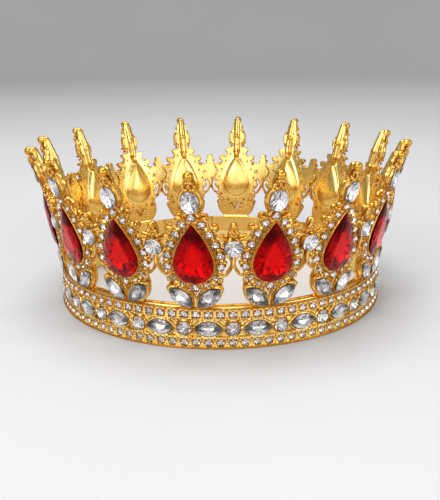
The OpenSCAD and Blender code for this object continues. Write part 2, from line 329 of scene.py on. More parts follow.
def new_object(name, data):
    """An object in the scene that shows a mesh, a light or a camera."""
    obj = bpy.data.objects.new(name, data)
    bpy.context.scene.collection.objects.link(obj)
    return obj


def lighter(mesh):
    """The same surface in CASTING_FACES triangles, most of them kept where it curves."""
    name = mesh.name
    obj = new_object("dense", mesh)
    fewer = obj.modifiers.new("fewer", "DECIMATE")
    fewer.ratio = min(1.0, CASTING_FACES / (2 * len(mesh.polygons)))
    shown = obj.evaluated_get(bpy.context.evaluated_depsgraph_get())
    light = bpy.data.meshes.new_from_object(shown)
    bpy.data.objects.remove(obj)
    bpy.data.meshes.remove(mesh)
    light.name = name
    light.polygons.foreach_set("use_smooth", [True] * len(light.polygons))
    return light


def fleuron_across(x, y, axis):
    """The true distance across from an axis, where the grid is spaced as at the pear stones."""
    return (x - axis * HALF_UNIT) * wall_r(z_of(y)).astype(np.float32) / np.float32(PEAR_R)


def leaf_plane(s, side):
    """Coordinates across and along the leaf on one side."""
    X, Y = s.plane()
    return turned(X, Y, side * LEAF_X, y_of(LEAF_Z), -side * LEAF_TILT)


def from_leaf(side, x, y):
    """A point given across and along a leaf, x positive on its outer side, in fleuron coordinates."""
    c, q = math.cos(math.radians(LEAF_TILT)), math.sin(math.radians(LEAF_TILT))
    return side * (LEAF_X + x * c + y * q), y_of(LEAF_Z) - x * q + y * c


# Crescent caps over the three upper halo stones of the right side, as strokes (x, y)
KNOB_CAPS = [
    [(2.1, 12.2), (3.5, 12.9), (5.0, 13.1)],
    [(4.8, 8.3), (6.4, 9.2), (8.2, 9.2)],
    [(6.8, 4.6), (8.4, 5.4), (9.9, 5.2)],
]
# A scroll right of a link post, and the comma-shaped opening beside it: (x, z, radius)
SCROLL = [(0.40, 34.6, 0.45), (0.42, 31.6, 0.45), (0.60, 30.2, 0.45), (1.25, 28.9, 0.46),
          (2.3, 27.7, 0.5), (3.8, 26.9, 0.55), (5.4, 26.6, 0.7)]
COMMA = [(2.3, 33.6, 0.25), (1.5, 32.5, 0.42), (1.4, 31.2, 0.5), (1.9, 30.2, 0.65),
         (2.6, 29.3, 0.8), (3.0, 28.95, 0.8)]
# The stem from the halo to the dome, a link's shoulder and its post: (x, z, radius)
STEM = [(0, 57, 2.4), (0, 60.0, 2.3), (0, 62.6, 1.6)]
STEM_FOOT = (0, 10, 2.4)            # (x, y, radius)
SHOULDER = [(0.5, 33.6, 2.4), (2.6, 30.2, 1.8), (4.6, 28.4, 1.2)]
POST = [(0, 38, 1.9), (0, 43, 1.8), (0, 45.0, 1.4)]
# The bridge between a leaf and the halo: (x, z, radius)
BRIDGE = [(6.6, 26.4, 2.0), (7.6, 23.2, 1.9)]


def sculpt_outline(s):
    """The outline of the flat back plate: foot, leaves, halo, stem and links."""
    X, Y = s.plane()
    foot_low = y_of(RIM_H - 0.2)
    foot = rect(X, Y - (foot_low + 2.6), 5.6, 2.9) - 0.6
    flare = stroke(X, Y, [(-4.4, foot_low + 5, 2.6), (4.4, foot_low + 5, 2.6)])
    body = soft_min(foot, flare, 1.5)
    for side in (-1, 1):
        lx, ly = leaf_plane(s, side)
        body = soft_min(body, navette(lx, ly, NAVETTE_L + 2.2, NAVETTE_W + 2.4), 0.8)
        body = soft_min(body, stroke(X, Y, on_side(side, BRIDGE)), 0.5)
    body = soft_min(body, rect(X, Y - y_of(22.4), 5.2, 3.2), 0.8)
    body = soft_min(body, pear(X, Y - HALO_SHIFT) - 2.9, 0.8)
    for k in range(-HALO_SIDE, HALO_SIDE + 1):
        x, y = halo_place(k)[:2]
        body = soft_min(body, disc(X - x, Y - y, 1.75), 0.5)
    for side in (-1, 1):
        for cap in KNOB_CAPS:
            crest = stroke(X, Y, [(side * (x - 0.5), y - 0.5, 1.45) for x, y in cap])
            body = soft_min(body, crest, 0.3)
    body = soft_min(body, stroke(X, Y, [STEM_FOOT, *on_side(1, STEM)]), 0.8)
    for side, axis in ((1, -1), (-1, 1)):
        LX, LY = s.plane(axis)
        LX = LX * side
        web = rect(LX - 1.4, LY - y_of(38.0), 3.6, 3.2) - 0.6
        body = soft_min(body, web, 0.8)
        body = soft_min(body, stroke(LX, LY, on_side(1, SHOULDER)), 0.6)
        body = soft_min(body, stroke(LX, LY, on_side(1, SCROLL)), 0.5)
        body = soft_min(body, stroke(LX, LY, on_side(1, POST)), 0.5)
        body = -soft_min(-body, stroke(LX, LY, on_side(1, COMMA)), 0.3)
    return body


def sculpt_back(s):
    """The polished inside: cup bulge, grooved stem rib, slits beside the oval, and flange."""
    X, Y = s.plane()
    inner = pear(X, Y)
    depth = np.clip(-(inner + 0.1) / 6.3, 0, 1)
    dome = 2.3 * np.sqrt(1 - (1 - depth) ** 2)
    s.add(inner - 0.1, -PLATE_T - dome, -1.0, 0.05, 0.9)
    oval_y = y_of(OVAL_Z)
    top_y = y_of(62.6)
    s.add(disc(X, Y - oval_y, 4.25), -2.0, -0.7, 0.5, 0.3)
    rib = [(0, 9.5, -2.6, 1.2), (0, 12.5, -2.5, 1.6), (0, oval_y, -2.5, 1.65), (0, top_y, -1.7, 1.4)]
    s.wire(rib, blend=0.5)
    groove = [(0, 11.0, -4.1, 0.3), (0, 14.5, -4.3, 0.45), (0, oval_y - 1, -4.3, 0.45)]
    s.wire(groove, blend=0.6, carve=True)
    for side in (-1, 1):
        slit = [(side * 2.7, oval_y - 1.9, -2.1, 0.42), (side * 2.75, oval_y + 1.9, -2.1, 0.42)]
        s.wire(slit, blend=0.2, carve=True)
    wall_z = z_of(s.Y)
    lean = np.arctan(wall_slope(wall_z))
    r = wall_r(wall_z)[..., None] + s.H * np.cos(lean)[..., None]
    z = wall_z[..., None] - s.H * np.sin(lean)[..., None]
    half = (FLANGE_OUT_R - FLANGE_IN_R) / 2
    edge = 0.25
    band = rect(r - FLANGE_IN_R - half, z - (FLANGE_LOW_Z + RIM_H - 0.3) / 2, half - edge,
                (RIM_H - 0.3 - FLANGE_LOW_Z) / 2 - edge) - edge
    ends = np.abs(s.flat_x[..., None]) - HALF_UNIT - 0.08
    s.d = soft_min(s.d, np.maximum(band, ends), 0.9)


PEAR_BEADS = 54


def sculpt_pear_cup(s):
    """The cup round the pear stone, with its sloping seat and its row of beads."""
    X, Y = s.plane()
    edge = pear_stone(X, Y)
    s.add(edge - 0.22, -1.5, 1.0 - np.clip(edge, 0, 1) * 1.2, 0.08, 0.05)
    seat = 1.25 + np.clip(edge + 0.05, -7, 0) * 0.57
    s.cut(edge - 0.05, seat, 5.0, 0.03, 0.0)
    # a row of fine beads between the stone and its halo
    around = edge_outline(lambda x, y: pear_stone(x, y) - 0.55, 0.0, PEAR_HEART_Y, 22)
    for n in range(PEAR_BEADS):
        s.bead(*around(2 * math.pi * (n + 0.5) / PEAR_BEADS), 0.2, 0.32, blend=0.05)


def sculpt_halo(s):
    """Seats and prongs of the halo stones, the notches between them, caps and small horns."""
    X, Y = s.plane()
    places = [halo_place(k) for k in range(-HALO_SIDE, HALO_SIDE + 1)]
    for x, y, ox, oy in places + [(0, APEX_CHATON_Y, 0, 1)]:
        away = disc(X - x, Y - y, 0)
        s.add(away - 1.7, -1.2, 0.2, 0.2, 0.05)
        s.cut(away - 1.3, -0.8 + np.clip(away, 0, 1.3) * 0.6, 3.0, 0.05, 0.0)
        s.prongs(x, y, (1.5, 1.5, 0.1, 0.42), (1.34, 1.34, 0.78, 0.33), (ox, oy))
        s.wire([(x, y, -2.6, 0.24), (x, y, -0.4, 0.24)], blend=0.05, carve=True)
    for (ax, ay, aox, aoy), (bx, by, box, boy) in zip(places, places[1:]):
        mx, my, ox, oy = (ax + bx) / 2, (ay + by) / 2, (aox + box) / 2, (aoy + boy) / 2
        s.wire([(mx - 1.15 * ox, my - 1.15 * oy, 0.35, 0.5)], blend=0.2)
        s.wire([(mx - 0.2 * ox, my - 0.2 * oy, -0.05, 0.42),
                (mx + 1.0 * ox, my + 1.0 * oy, -0.2, 0.5)], blend=0.2)
        s.cut(disc(X - mx - 2.1 * ox, Y - my - 2.1 * oy, 0.62), -3.0, 3.0, 0.2, 0.3)
    for side in (-1, 1):
        for (ax, ay), (mx, my), (bx, by) in KNOB_CAPS:
            s.wire([(side * ax, ay, 0.15, 0.42), (side * mx, my, 0.55, 0.55),
                    (side * bx, by, 0.25, 0.62)], blend=0.2)
            s.bead(side * bx, by, 0.55, 0.62)
            s.bead(side * ax, ay, 0.35, 0.48)
        for k, reach in ((3, 2.35), (2, 2.3)):
            x, y, ox, oy = halo_place(side * k)
            s.wire([(x + 1.4 * ox, y + 1.4 * oy, -0.2, 0.42),
                    (x + reach * ox, y + reach * oy, -0.1, 0.4),
                    (x + (reach + 0.25) * ox, y + reach * oy + 0.75, 0.0, 0.34)], blend=0.2)


# Lines beside a leaf stone, across and along the leaf: the flange that faces the other leaf, and
# the curl at the outer top (x, y, h, radius)
LEAF_FLANGE = [(-1.9, 4.2, 0.6, 0.42), (-3.0, 2.0, 0.8, 0.5), (-3.1, -0.6, 0.8, 0.5),
               (-2.2, -3.4, 0.6, 0.42)]
LEAF_CURL = [(-1.2, 4.6, 0.3, 0.42), (-0.6, 5.9, 0.45, 0.5), (0.5, 5.9, 0.5, 0.5),
             (1.2, 4.9, 0.4, 0.45), (1.9, 3.6, 0.2, 0.45)]
# The chain between the halo and a leaf (x, z, h, radius), and the slot in the V between the
# leaves (x, z, radius), which goes right through
LEAF_CHAIN = [(8.3, 24.9, 0.0, 0.42), (6.2, 24.3, 0.1, 0.45), (4.0, 22.9, 0.1, 0.4)]
LEAF_SLOT = [(0.12, 18.9, 0.30), (0.95, 20.4, 0.30), (1.7, 21.6, 0.32)]


def sculpt_leaves(s):
    """The settings of the two leaf stones, with the lines and beads round them."""
    for side in (-1, 1):
        edge = navette(*leaf_plane(s, side))
        s.add(edge - 0.45, -1.2, 1.0, 0.15, 0.2)
        s.wire([(*from_leaf(side, x, y), h, r) for x, y, h, r in LEAF_FLANGE], blend=0.2)
        for y in (3.4, 1.9, 0.4, -1.1, -2.6):
            s.bead(*from_leaf(side, -3.3 + 0.06 * y * y, y), 1.15, 0.32)
        s.wire([(*from_leaf(side, x, y), h, r) for x, y, h, r in LEAF_CURL], blend=0.15)
        s.cut(edge - 0.3, 0.9 + np.clip(edge, -2.5, 0) * 0.62, 5.0, 0.03, 0.0)
        s.wire(on_side(side, LEAF_CHAIN), blend=0.15)
        s.bead(side * 7.3, y_of(24.9), 0.3, 0.45)
        s.bead(side * 5.0, y_of(23.7), 0.3, 0.4)
    for side in (-1, 1):
        for h in np.arange(-3, 2.1, 0.5):
            slot = [(x, y, h, r) for x, y, r in on_side(side, LEAF_SLOT)]
            s.wire(slot, blend=0.05, carve=True)


# One arm under a link's finial: (x, z, h, radius)
ARM = [(1.9, 41.0, 0.5, 0.5), (3.1, 41.2, 0.7, 0.52), (4.4, 41.9, 0.6, 0.55), (5.6, 42.2, 0.4, 0.5)]


def sculpt_link(s, axis):
    """A link's seat, arms, scrolls and finial; axis is -1 for the left link of the patch."""
    X, Y = s.plane(axis)
    cy = y_of(LINK_Z)
    away = disc(X, Y - cy, 0)
    s.add(away - 3.3, -1.8, 1.25 - np.clip(away - 3.0, 0, 1) * 1.5, 0.1, 0.2)
    seat = 1.0 - np.clip(LINK_D / 2 - away, 0, 3) * 0.6
    s.cut(away - LINK_D / 2 - 0.08, seat, 5.0, 0.03, 0.0)
    for way in (-1, 1):
        s.wire(on_side(way, ARM), axis, 0.15)
        s.wire([(x, y, -0.1, 0.5) for x, y, _ in on_side(way, SCROLL)], axis, 0.15)
        s.bead(way * 1.45, y_of(43.3), 0.45, 0.7, axis, 0.03)
        s.bead(way * 0.75, y_of(42.2), 0.9, 0.62, axis, 0.03)
        s.bead(way * 0.75, y_of(44.3), 0.55, 0.55, axis, 0.03)
    s.bead(0, y_of(43.3), 0.95, 0.75, axis, 0.03)
    s.bead(0, y_of(45.4), 0.3, 1.2, axis, 0.03)


# One of the two curved leaves behind the oval stone: (x, z, h, radius)
SPIRE_LEAF = [(2.1, 50.3, -0.6, 0.5), (3.3, 51.6, -0.5, 0.55), (3.8, 53.4, -0.5, 0.6),
              (3.75, 55.4, -0.5, 0.58), (2.9, 57.6, -0.4, 0.5), (1.9, 58.9, -0.1, 0.45)]


def sculpt_spire(s):
    """The setting of the oval stone, its leaves, and the beads and dome above it."""
    X, Y = s.plane()
    cy = y_of(OVAL_Z)
    edge = oval(X, Y - cy)
    s.add(edge - 0.36, -1.4, 1.3 - np.clip(edge, 0, 1) * 1.2, 0.1, 0.2)
    s.cut(edge - 0.1, 1.05 + np.clip(edge, -3, 0) * 0.6, 5.0, 0.03, 0.0)
    for side in (-1, 1):
        s.wire(on_side(side, SPIRE_LEAF), blend=0.1)
        s.bead(side * 3.75, y_of(52.2), 0.75, 0.55)
        s.bead(side * 3.0, y_of(50.6), 0.6, 0.55)
        s.bead(side * 1.85, y_of(59.7), 0.7, 0.85, blend=0.03)
        s.bead(side * 1.0, y_of(58.9), 1.35, 0.7, blend=0.03)
        s.bead(side * 1.15, y_of(61.1), 0.6, 0.72, blend=0.03)
    s.bead(0, y_of(60.0), 1.3, 0.85, blend=0.03)
    s.bead(0, y_of(61.3), 1.0, 0.62, blend=0.03)
    s.bead(0, y_of(63.2), 0.3, 1.7, blend=0.03)     # the dome on top


# Where a casting stops at its neighbour: the seat of a link with its two heights, and half the
# widths of the post below it and of the finial above it
SEAT_R, SEAT_LOW_Z, SEAT_HIGH_Z = 3.5, 34.2, 40.5
POST_HALF, FINIAL_HALF = 0.75, 1.9
LINK_REACH = 3.75
INSIDE = -9.0


def beyond_seams(s):
    """How far each place lies beyond this casting, which has its left link but not its right."""
    left, Y = s.plane(-1)
    right = s.plane(1)[0]
    below, above = Y < y_of(SEAT_LOW_Z), Y > y_of(SEAT_HIGH_Z)
    seat_y = y_of(LINK_Z)
    beyond = np.maximum(-(left + LINK_REACH), right + POST_HALF)
    over_low = Y > y_of(SEAT_LOW_Z)
    beyond = np.maximum(beyond, np.where(over_low, -disc(right, Y - seat_y, SEAT_R), INSIDE))
    beyond = np.maximum(beyond, np.where(above, right + FINIAL_HALF, INSIDE))
    post = np.minimum(-(left + POST_HALF), 3.0)
    beyond = np.maximum(beyond, np.where((left < -POST_HALF) & below, post, INSIDE))
    beyond = np.where(Y < y_of(RIM_H), INSIDE, beyond)
    # the outer half of the left link: its round seat, and its finial above that
    outer = left < 0
    at_seat = outer & over_low & (Y < y_of(SEAT_HIGH_Z))
    at_finial = outer & (Y >= y_of(SEAT_HIGH_Z))
    half_link = np.where(at_seat, disc(left, Y - seat_y, SEAT_R), INSIDE)
    half_link = np.where(at_finial, -(left + FINIAL_HALF), half_link)
    return np.maximum(beyond, half_link)


def fleuron_mesh():
    """One fleuron with the link on its left; its right edge stops where the next link starts."""
    low = (-HALF_UNIT - 3.9, y_of(7.4), -5.2)
    high = (HALF_UNIT + 0.8, y_of(66.6), 3.2)
    s = Sculpture(low, high, FLEURON_GRID, fleuron_across)
    s.add(sculpt_outline(s), -PLATE_T, -0.5, 0.35, 0.0)
    sculpt_halo(s)
    sculpt_leaves(s)
    sculpt_spire(s)
    sculpt_link(s, -1)
    sculpt_link(s, 1)
    sculpt_pear_cup(s)
    sculpt_back(s)
    # the comma openings beside both links go through all the relief
    for side, axis in ((1, -1), (-1, 1)):
        LX, LY = s.plane(axis)
        s.cut(stroke(LX * side, LY, on_side(1, COMMA)), -5.0, 3.0, 0.2, 0.1)
    s.d = np.maximum(s.d, beyond_seams(s)[..., None])
    return s.mesh("fleuron_casting", lambda x, y, h: on_wall(x / PEAR_R, y, h))


# ---- the rim ----

REPEAT_X = math.radians(REPEAT_STEP) * RIM_FACE_R
CHATON_X = math.radians(CHATON_STEP) * RIM_FACE_R


def rim_navette(x, y, grow=0.0):
    return navette(y, x, NAVETTE_L + 2.2 * grow, NAVETTE_W + 2 * grow)


# Mouldings along the rim, from the foot up: (middle z, half height, top h, edge radius)
MOULDINGS = [(0.38, 0.38, 1.2, 0.22), (2.4, 1.9, 0.0, 0.2), (12.6, 2.1, 0.0, 0.25),
             (14.6, 0.25, 0.22, 0.2)]
# The rails of small stones: z of the stones, recess between two of them (half width, half
# height, floor h), and the beads above and below it (distance, radius)
RAILS = [
    (LOWER_RAIL_Z, (0.3, 0.6, -0.45), (1.45, 0.36)),
    (UPPER_RAIL_Z, (0.62, 1.25, -1.0), (1.95, 0.42)),
]
SECTION_LAP = 0.1                   # each rim casting runs past its ends by this, as solder would


def sculpt_rails(s, cx):
    """One stone of each rail at cx, with the recess and beads on its right."""
    X, Z = s.plane()
    for z, (gap_x, gap_z, gap_floor), (bead_z, bead_r) in RAILS:
        s.cut(rect(X - cx - CHATON_X / 2, Z - z, gap_x, gap_z), gap_floor, 3.0, 0.15, 0.15)
        away = disc(X - cx, Z - z, 0)
        s.add(away - 1.58, -1.0, 0.12, 0.15, 0.1)
        s.cut(away - 1.3, -0.75, 3.0, 0.05, 0.0)
        s.prongs(cx, z, (1.55, 1.5, 0.0, 0.42), (1.3, 1.28, 0.42, 0.33))
        for up in (-1, 1):
            s.bead(cx + CHATON_X / 2, z + up * bead_z, 0.1, bead_r)


def channel_setting(s, flange, slope, bezel, edge):
    """A setting in the rim's channel: sloping flange, raised line round the stone, and seat."""
    s.add(flange, -1.6, 0.35 - np.clip(slope, -1, 2) * 0.75, 0.2, 0.2)
    s.add(np.abs(bezel) - 0.17, -1.0, 0.55, 0.1, 0.12)
    s.cut(edge - 0.22, 0.25 + np.clip(edge, -3, 0) * 0.62, 4.0, 0.03, 0)


def sculpt_repeat(s, cx):
    """The round stone's setting at cx, the pointed stone's on its right, and their prongs."""
    X, Z = s.plane()
    away = disc(X - cx, Z - CHANNEL_Z, 0)
    channel_setting(s, away - 3.15, away - 2.4, away - 2.6, away - RIM_ROUND_D / 2)
    s.prongs(cx, CHANNEL_Z, (2.65, 2.65, 0.4, 0.4), (2.3, 2.3, 0.95, 0.3))
    nx = X - cx - REPEAT_X / 2
    edge = rim_navette(nx, Z - CHANNEL_Z)
    channel_setting(s, rim_navette(nx, Z - CHANNEL_Z, 0.95), edge, edge - 0.25, edge)
    middle = cx + REPEAT_X / 2
    for way in (-1, 1):
        s.wire([(middle + way * 5.15, CHANNEL_Z, 0.6, 0.42),
                (middle + way * 4.7, CHANNEL_Z, 1.0, 0.3)], blend=0.1)
        # bright arms that run from each junction up and down to the rails
        jx = middle + way * 5.6
        for up in (-1, 1):
            s.wire([(jx, CHANNEL_Z, 0.0, 0.4), (jx - way * 1.3, CHANNEL_Z + up * 1.9, 0.0, 0.36),
                    (jx - way * 2.7, CHANNEL_Z + up * 2.95, -0.05, 0.34)], blend=0.15)


def rim_mesh():
    """One rim casting, an eighth of the ring, standing on its foot at z = 0."""
    x0 = -math.radians(REPEAT_STEP - SECTION_END) * RIM_FACE_R
    x1 = x0 + math.radians(SECTION_STEP) * RIM_FACE_R
    low, high = (x0 - 0.5, -0.4, -3.0), (x1 + 0.5, RIM_H + 0.7, 2.2)
    s = Sculpture(low, high, RIM_GRID, lambda x, y, axis: x)
    X, Z = s.plane()
    strip = rect(X - (x0 + x1) / 2, Z - 7.6, (x1 - x0) / 2 + 2, 7.6)
    s.add(strip, -2.3, -1.15, 0.12, 0)
    for z, half, top, edge in MOULDINGS:
        s.add(rect(X, Z - z, 99, half), -2.0, top, edge, 0.1)
    first = int(x0 / CHATON_X) - 1
    for n in range(first, first + 16):
        sculpt_rails(s, n * CHATON_X)
    for n in range(-1, 4):
        sculpt_repeat(s, n * REPEAT_X)
    ends = np.maximum(x0 - SECTION_LAP - X, X - x1 - SECTION_LAP)
    s.d = np.maximum(s.d, ends[..., None])

    def place(x, y, h):
        a, r = x / RIM_FACE_R, RIM_FACE_R + h
        return np.stack([r * np.sin(a), -r * np.cos(a), y], -1)
    return s.mesh("rim_casting", place)


# ---- crystals ----

def round_outline(d):
    return lambda t: (d / 2 * math.cos(t), d / 2 * math.sin(t))


def oval_outline(length, width):
    return lambda t: (width / 2 * math.cos(t), length / 2 * math.sin(t))


def edge_outline(distance, cx, cy, reach):
    """The outline of a signed distance shape as seen from a point inside it."""
    def point(t):
        c, q = math.cos(t), math.sin(t)
        low, high = 0.0, reach
        for _ in range(40):
            mid = (low + high) / 2
            if distance(cx + mid * c, cy + mid * q) < 0:
                low = mid
            else:
                high = mid
        return cx + low * c, cy + low * q
    return point


def gem_data(outline, folds, girdle, table, culet, table_size, centre=(0, 0), angles=None, keel=0.0):
    """Facets of a brilliant of any outline: vertices, faces, and 1 for each foiled facet.

    girdle, table and culet are heights; table_size is the table's share of the outline; keel is
    half the length of the edge that a long stone has instead of a culet.
    """
    cx, cy = centre
    corners = 2 * folds
    turns = angles or [2 * math.pi * j / corners + math.pi / 2 for j in range(corners)]
    rim = [outline(t) for t in turns]

    def ring(size, h, odd):
        return [(cx + size * (x - cx), cy + size * (y - cy), h) for x, y in rim[odd::2]]

    tip = [(cx, cy + keel, culet), (cx, cy - keel, culet)] if keel else [(cx, cy, culet)]
    verts, starts = [], []
    for points in (ring(table_size, table, 0),
                   ring((table_size + 1) / 2 + 0.06, girdle + 0.62 * (table - girdle), 1),
                   [(x, y, girdle + 0.06) for x, y in rim],
                   [(x, y, girdle - 0.06) for x, y in rim],
                   ring(0.52, girdle - 0.06 + 0.56 * (culet - girdle), 1),
                   tip):
        starts.append(len(verts))
        verts += points
    flat, mid, top, low, back, end = starts
    faces, foil = [tuple(range(flat, flat + folds))], [0]
    for k in range(folds):
        after, before = (k + 1) % folds, (k - 1) % folds
        j0, j1, j2 = 2 * k, 2 * k + 1, (2 * k + 2) % corners
        faces += [(flat + k, mid + k, flat + after), (flat + k, mid + before, top + j0, mid + k),
                  (mid + k, top + j0, top + j1), (mid + k, top + j1, top + j2),
                  (top + j0, low + j0, low + j1, top + j1), (top + j1, low + j1, low + j2, top + j2)]
        foil += [0] * 6
        upper = not keel or math.sin(turns[j0]) >= 0
        point = end if upper else end + 1
        faces += [(back + k, low + j1, low + j0), (back + k, low + j2, low + j1),
                  (point, back + k, low + j0, back + before)]
        foil += [1] * 3
        if keel and (math.sin(turns[j2]) >= 0) != upper:
            faces.append((end, end + 1, back + k) if upper else (end + 1, end, back + k))
            foil.append(1)
    return verts, faces, foil


def gem_object(name, stones, glass, foil_material):
    """One object of many stones, each given as (gem data, its 4x4 frame in millimetres)."""
    verts, faces, index = [], [], []
    for (gem_verts, gem_faces, gem_foil), matrix in stones:
        base = len(verts)
        verts += [(matrix @ Vector(v)) * MM for v in gem_verts]
        faces += [tuple(base + i for i in f) for f in gem_faces]
        index += gem_foil
    mesh = bpy.data.meshes.new(name)
    mesh.from_pydata([tuple(v) for v in verts], [], faces)
    mesh.validate()
    mesh.update()
    work = bmesh.new()
    work.from_mesh(mesh)
    bmesh.ops.recalc_face_normals(work, faces=work.faces)
    work.to_mesh(mesh)
    work.free()
    mesh.materials.append(glass)
    mesh.materials.append(foil_material)
    mesh.polygons.foreach_set("material_index", index)
    return new_object(name, mesh)


# ---- materials ----

CRYSTAL_IOR = 1.55
MIX_A, MIX_B, MIX_OUT = 6, 7, 2     # the colour sockets of a Mix node


def material(name):
    """A new material, its node tree, and its one Principled shader."""
    m = bpy.data.materials.new(name)
    m.use_nodes = True
    nodes = m.node_tree.nodes
    nodes.clear()
    out = nodes.new("ShaderNodeOutputMaterial")
    shader = nodes.new("ShaderNodeBsdfPrincipled")
    m.node_tree.links.new(shader.outputs[0], out.inputs[0])
    return m, m.node_tree, shader


def ramp(tree, stops):
    """A colour ramp with stops (place, colour)."""
    node = tree.nodes.new("ShaderNodeValToRGB")
    elements = node.color_ramp.elements
    while len(elements) < len(stops):
        elements.new(0.5)
    for element, (place, colour) in zip(elements, stops):
        element.position = place
        element.color = (*colour, 1)
    return node


def noise(tree, scale, detail=3.0, rough=0.5):
    """Noise in the object's own coordinates; scale is in patches per metre."""
    coords = tree.nodes.new("ShaderNodeTexCoord")
    node = tree.nodes.new("ShaderNodeTexNoise")
    node.inputs["Scale"].default_value = scale
    node.inputs["Detail"].default_value = detail
    node.inputs["Roughness"].default_value = rough
    tree.links.new(coords.outputs["Object"], node.inputs["Vector"])
    return node


def spread(tree, source, low, high):
    """A 0 to 1 value stretched between two others."""
    node = tree.nodes.new("ShaderNodeMapRange")
    node.inputs["To Min"].default_value = low
    node.inputs["To Max"].default_value = high
    tree.links.new(source, node.inputs["Value"])
    return node.outputs[0]


def gold_material():
    """Bright gold plating with painted shade in the crevices (a deeper, redder colour) and a painted
    highlight on the edges (a paler colour), with faint casting ripple.
    """
    m, tree, shader = material("gold_plating")
    shader.inputs["Metallic"].default_value = 1.0
    geometry = tree.nodes.new("ShaderNodeNewGeometry")
    # painted shade and painted highlight: pointiness turns crevices dark reddish gold and edges pale
    # gold
    tone = ramp(tree, [(0.43, (0.30, 0.085, 0.008)), (0.488, (0.72, 0.36, 0.045)),
                       (0.5, (0.97, 0.73, 0.25)), (0.57, (1.0, 0.84, 0.42))])
    tree.links.new(geometry.outputs["Pointiness"], tone.inputs[0])
    mottle = noise(tree, 260.0, 2.0)
    tint = tree.nodes.new("ShaderNodeMix")
    tint.data_type = "RGBA"
    tint.blend_type = "MULTIPLY"
    shade = ramp(tree, [(0.35, (0.93, 0.90, 0.84)), (0.65, (1.0, 1.0, 1.0))])
    tree.links.new(mottle.outputs[0], shade.inputs[0])
    tint.inputs[0].default_value = 1.0
    tree.links.new(tone.outputs[0], tint.inputs[MIX_A])
    tree.links.new(shade.outputs[0], tint.inputs[MIX_B])
    tree.links.new(tint.outputs[MIX_OUT], shader.inputs["Base Color"])
    gloss = spread(tree, noise(tree, 900.0, 4.0).outputs[0], 0.16, 0.34)
    tree.links.new(gloss, shader.inputs["Roughness"])
    ripple = noise(tree, 420.0, 3.0)
    bump = tree.nodes.new("ShaderNodeBump")
    bump.inputs["Strength"].default_value = 0.10
    bump.inputs["Distance"].default_value = 0.0002
    tree.links.new(ripple.outputs[0], bump.inputs["Height"])
    tree.links.new(bump.outputs[0], shader.inputs["Normal"])
    return m


def glass_material(name, colour, reflection=(1.0, 1.0, 1.0)):
    """Clear glass of a colour; reflection tints what its surface mirrors."""
    m, tree, shader = material(name)
    haze = spread(tree, noise(tree, 700.0, 2.0).outputs[0], 0.0, 0.05)
    tree.links.new(haze, shader.inputs["Roughness"])
    shader.inputs["Base Color"].default_value = (*colour, 1)
    shader.inputs["Specular Tint"].default_value = (*reflection, 1)
    shader.inputs["Transmission Weight"].default_value = 1.0
    shader.inputs["IOR"].default_value = CRYSTAL_IOR
    return m


def foil_material(name, dark, light, roughness):
    """The mirror foil behind a crystal, seen only through the glass."""
    m, tree, shader = material(name)
    cloud = noise(tree, 380.0, 2.0)
    tone = ramp(tree, [(0.35, dark), (0.65, light)])
    tree.links.new(cloud.outputs[0], tone.inputs[0])
    tree.links.new(tone.outputs[0], shader.inputs["Base Color"])
    shader.inputs["Metallic"].default_value = 1.0
    shader.inputs["Roughness"].default_value = roughness
    return m


gold = gold_material()
clear_glass = glass_material("clear_crystal_glass", (1.0, 1.0, 1.0))
red_glass = glass_material("red_crystal_glass", (0.84, 0.004, 0.010), (1.0, 0.06, 0.07))
silver_foil = foil_material("silver_foil", (0.90, 0.88, 0.88), (1.0, 1.0, 1.0), 0.19)
red_foil = foil_material("red_foil", (0.42, 0.02, 0.03), (0.90, 0.06, 0.07), 0.14)


# ---- putting the crown together ----

def finish_piece(obj, node):
    """Tie a visible piece to the body and hide the CAD node it replaces."""
    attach(obj, "root")
    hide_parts(node)


def place_copies(mesh, name, node, count, first_turn):
    """The same casting round the crown, each copy a piece of its own."""
    mesh.materials.append(gold)
    for i in range(count):
        obj = new_object(f"{name}_{i + 1}", mesh)
        obj.rotation_euler = (0, 0, math.radians((i + first_turn) * 360 / count))
        finish_piece(obj, f"{node}_{i + 1}")


def place_castings():
    place_copies(fleuron_mesh(), "fleuron_casting", "fleuron", FLEURONS, 0.5)
    place_copies(rim_mesh(), "rim_casting", "rim_section", SECTIONS, 0)


